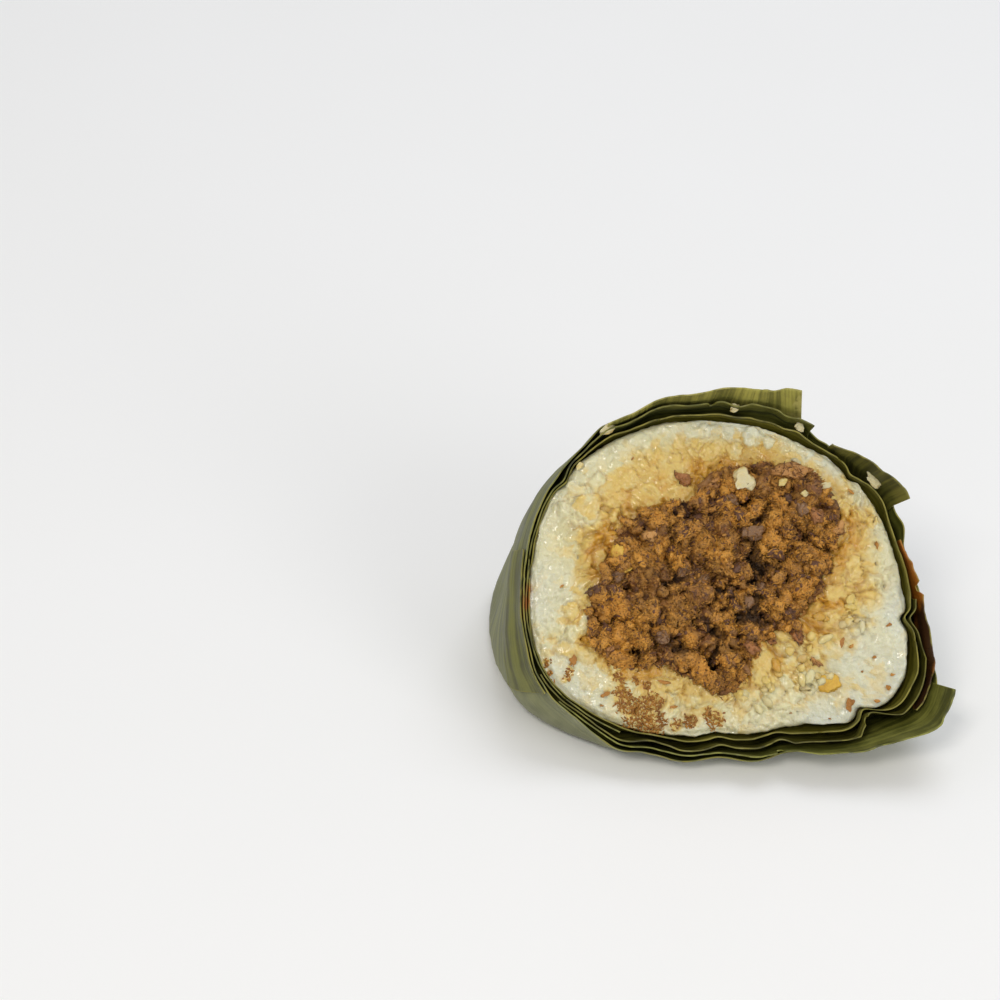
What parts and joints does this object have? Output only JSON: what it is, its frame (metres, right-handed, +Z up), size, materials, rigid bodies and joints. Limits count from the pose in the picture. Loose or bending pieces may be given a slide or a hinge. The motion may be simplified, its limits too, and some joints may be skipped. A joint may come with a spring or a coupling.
{
  "type": "cut rice dumpling",
  "caption": "Half of a leaf-wrapped sticky rice dumpling, cut through to show rice round a plug of minced filling, still lying in its layered leaves.",
  "frame": {"origin": "middle of the underside's box, on the ground", "axes": "+X to the right as one looks at the cut face, +Y away from the viewer, +Z up; the cut face looks towards -Y and up"},
  "size_m": [0.0818, 0.059, 0.0552],
  "materials": {
    "rice": "moist cooked sticky rice, white at the rim and amber near the filling",
    "filling": "crumbly minced filling, brown with darker hollows",
    "leaf_inside": "boiled leaf, dark olive, satin, fine veins",
    "leaf_light": "boiled leaf, olive, satin, fine veins",
    "leaf_stained": "boiled leaf stained orange-brown",
    "leaf_outside": "back of a boiled leaf, grey-green bloom over olive, fine veins"
  },
  "bodies": {
    "root": {"rice": "rice", "filling": "filling", "leaf_inner": "leaf_inside", "leaf_second": "leaf_inside", "leaf_third": "leaf_inside", "leaf_stained": "leaf_stained", "leaf_bottom": "leaf_light", "leaf_right_flap": "leaf_inside", "leaf_top_flap": "leaf_light", "leaf_outer": "leaf_outside", "leaf_left_fold": "leaf_light", "leaf_wrap": "leaf_outside"}
  },
  "joints": []
}
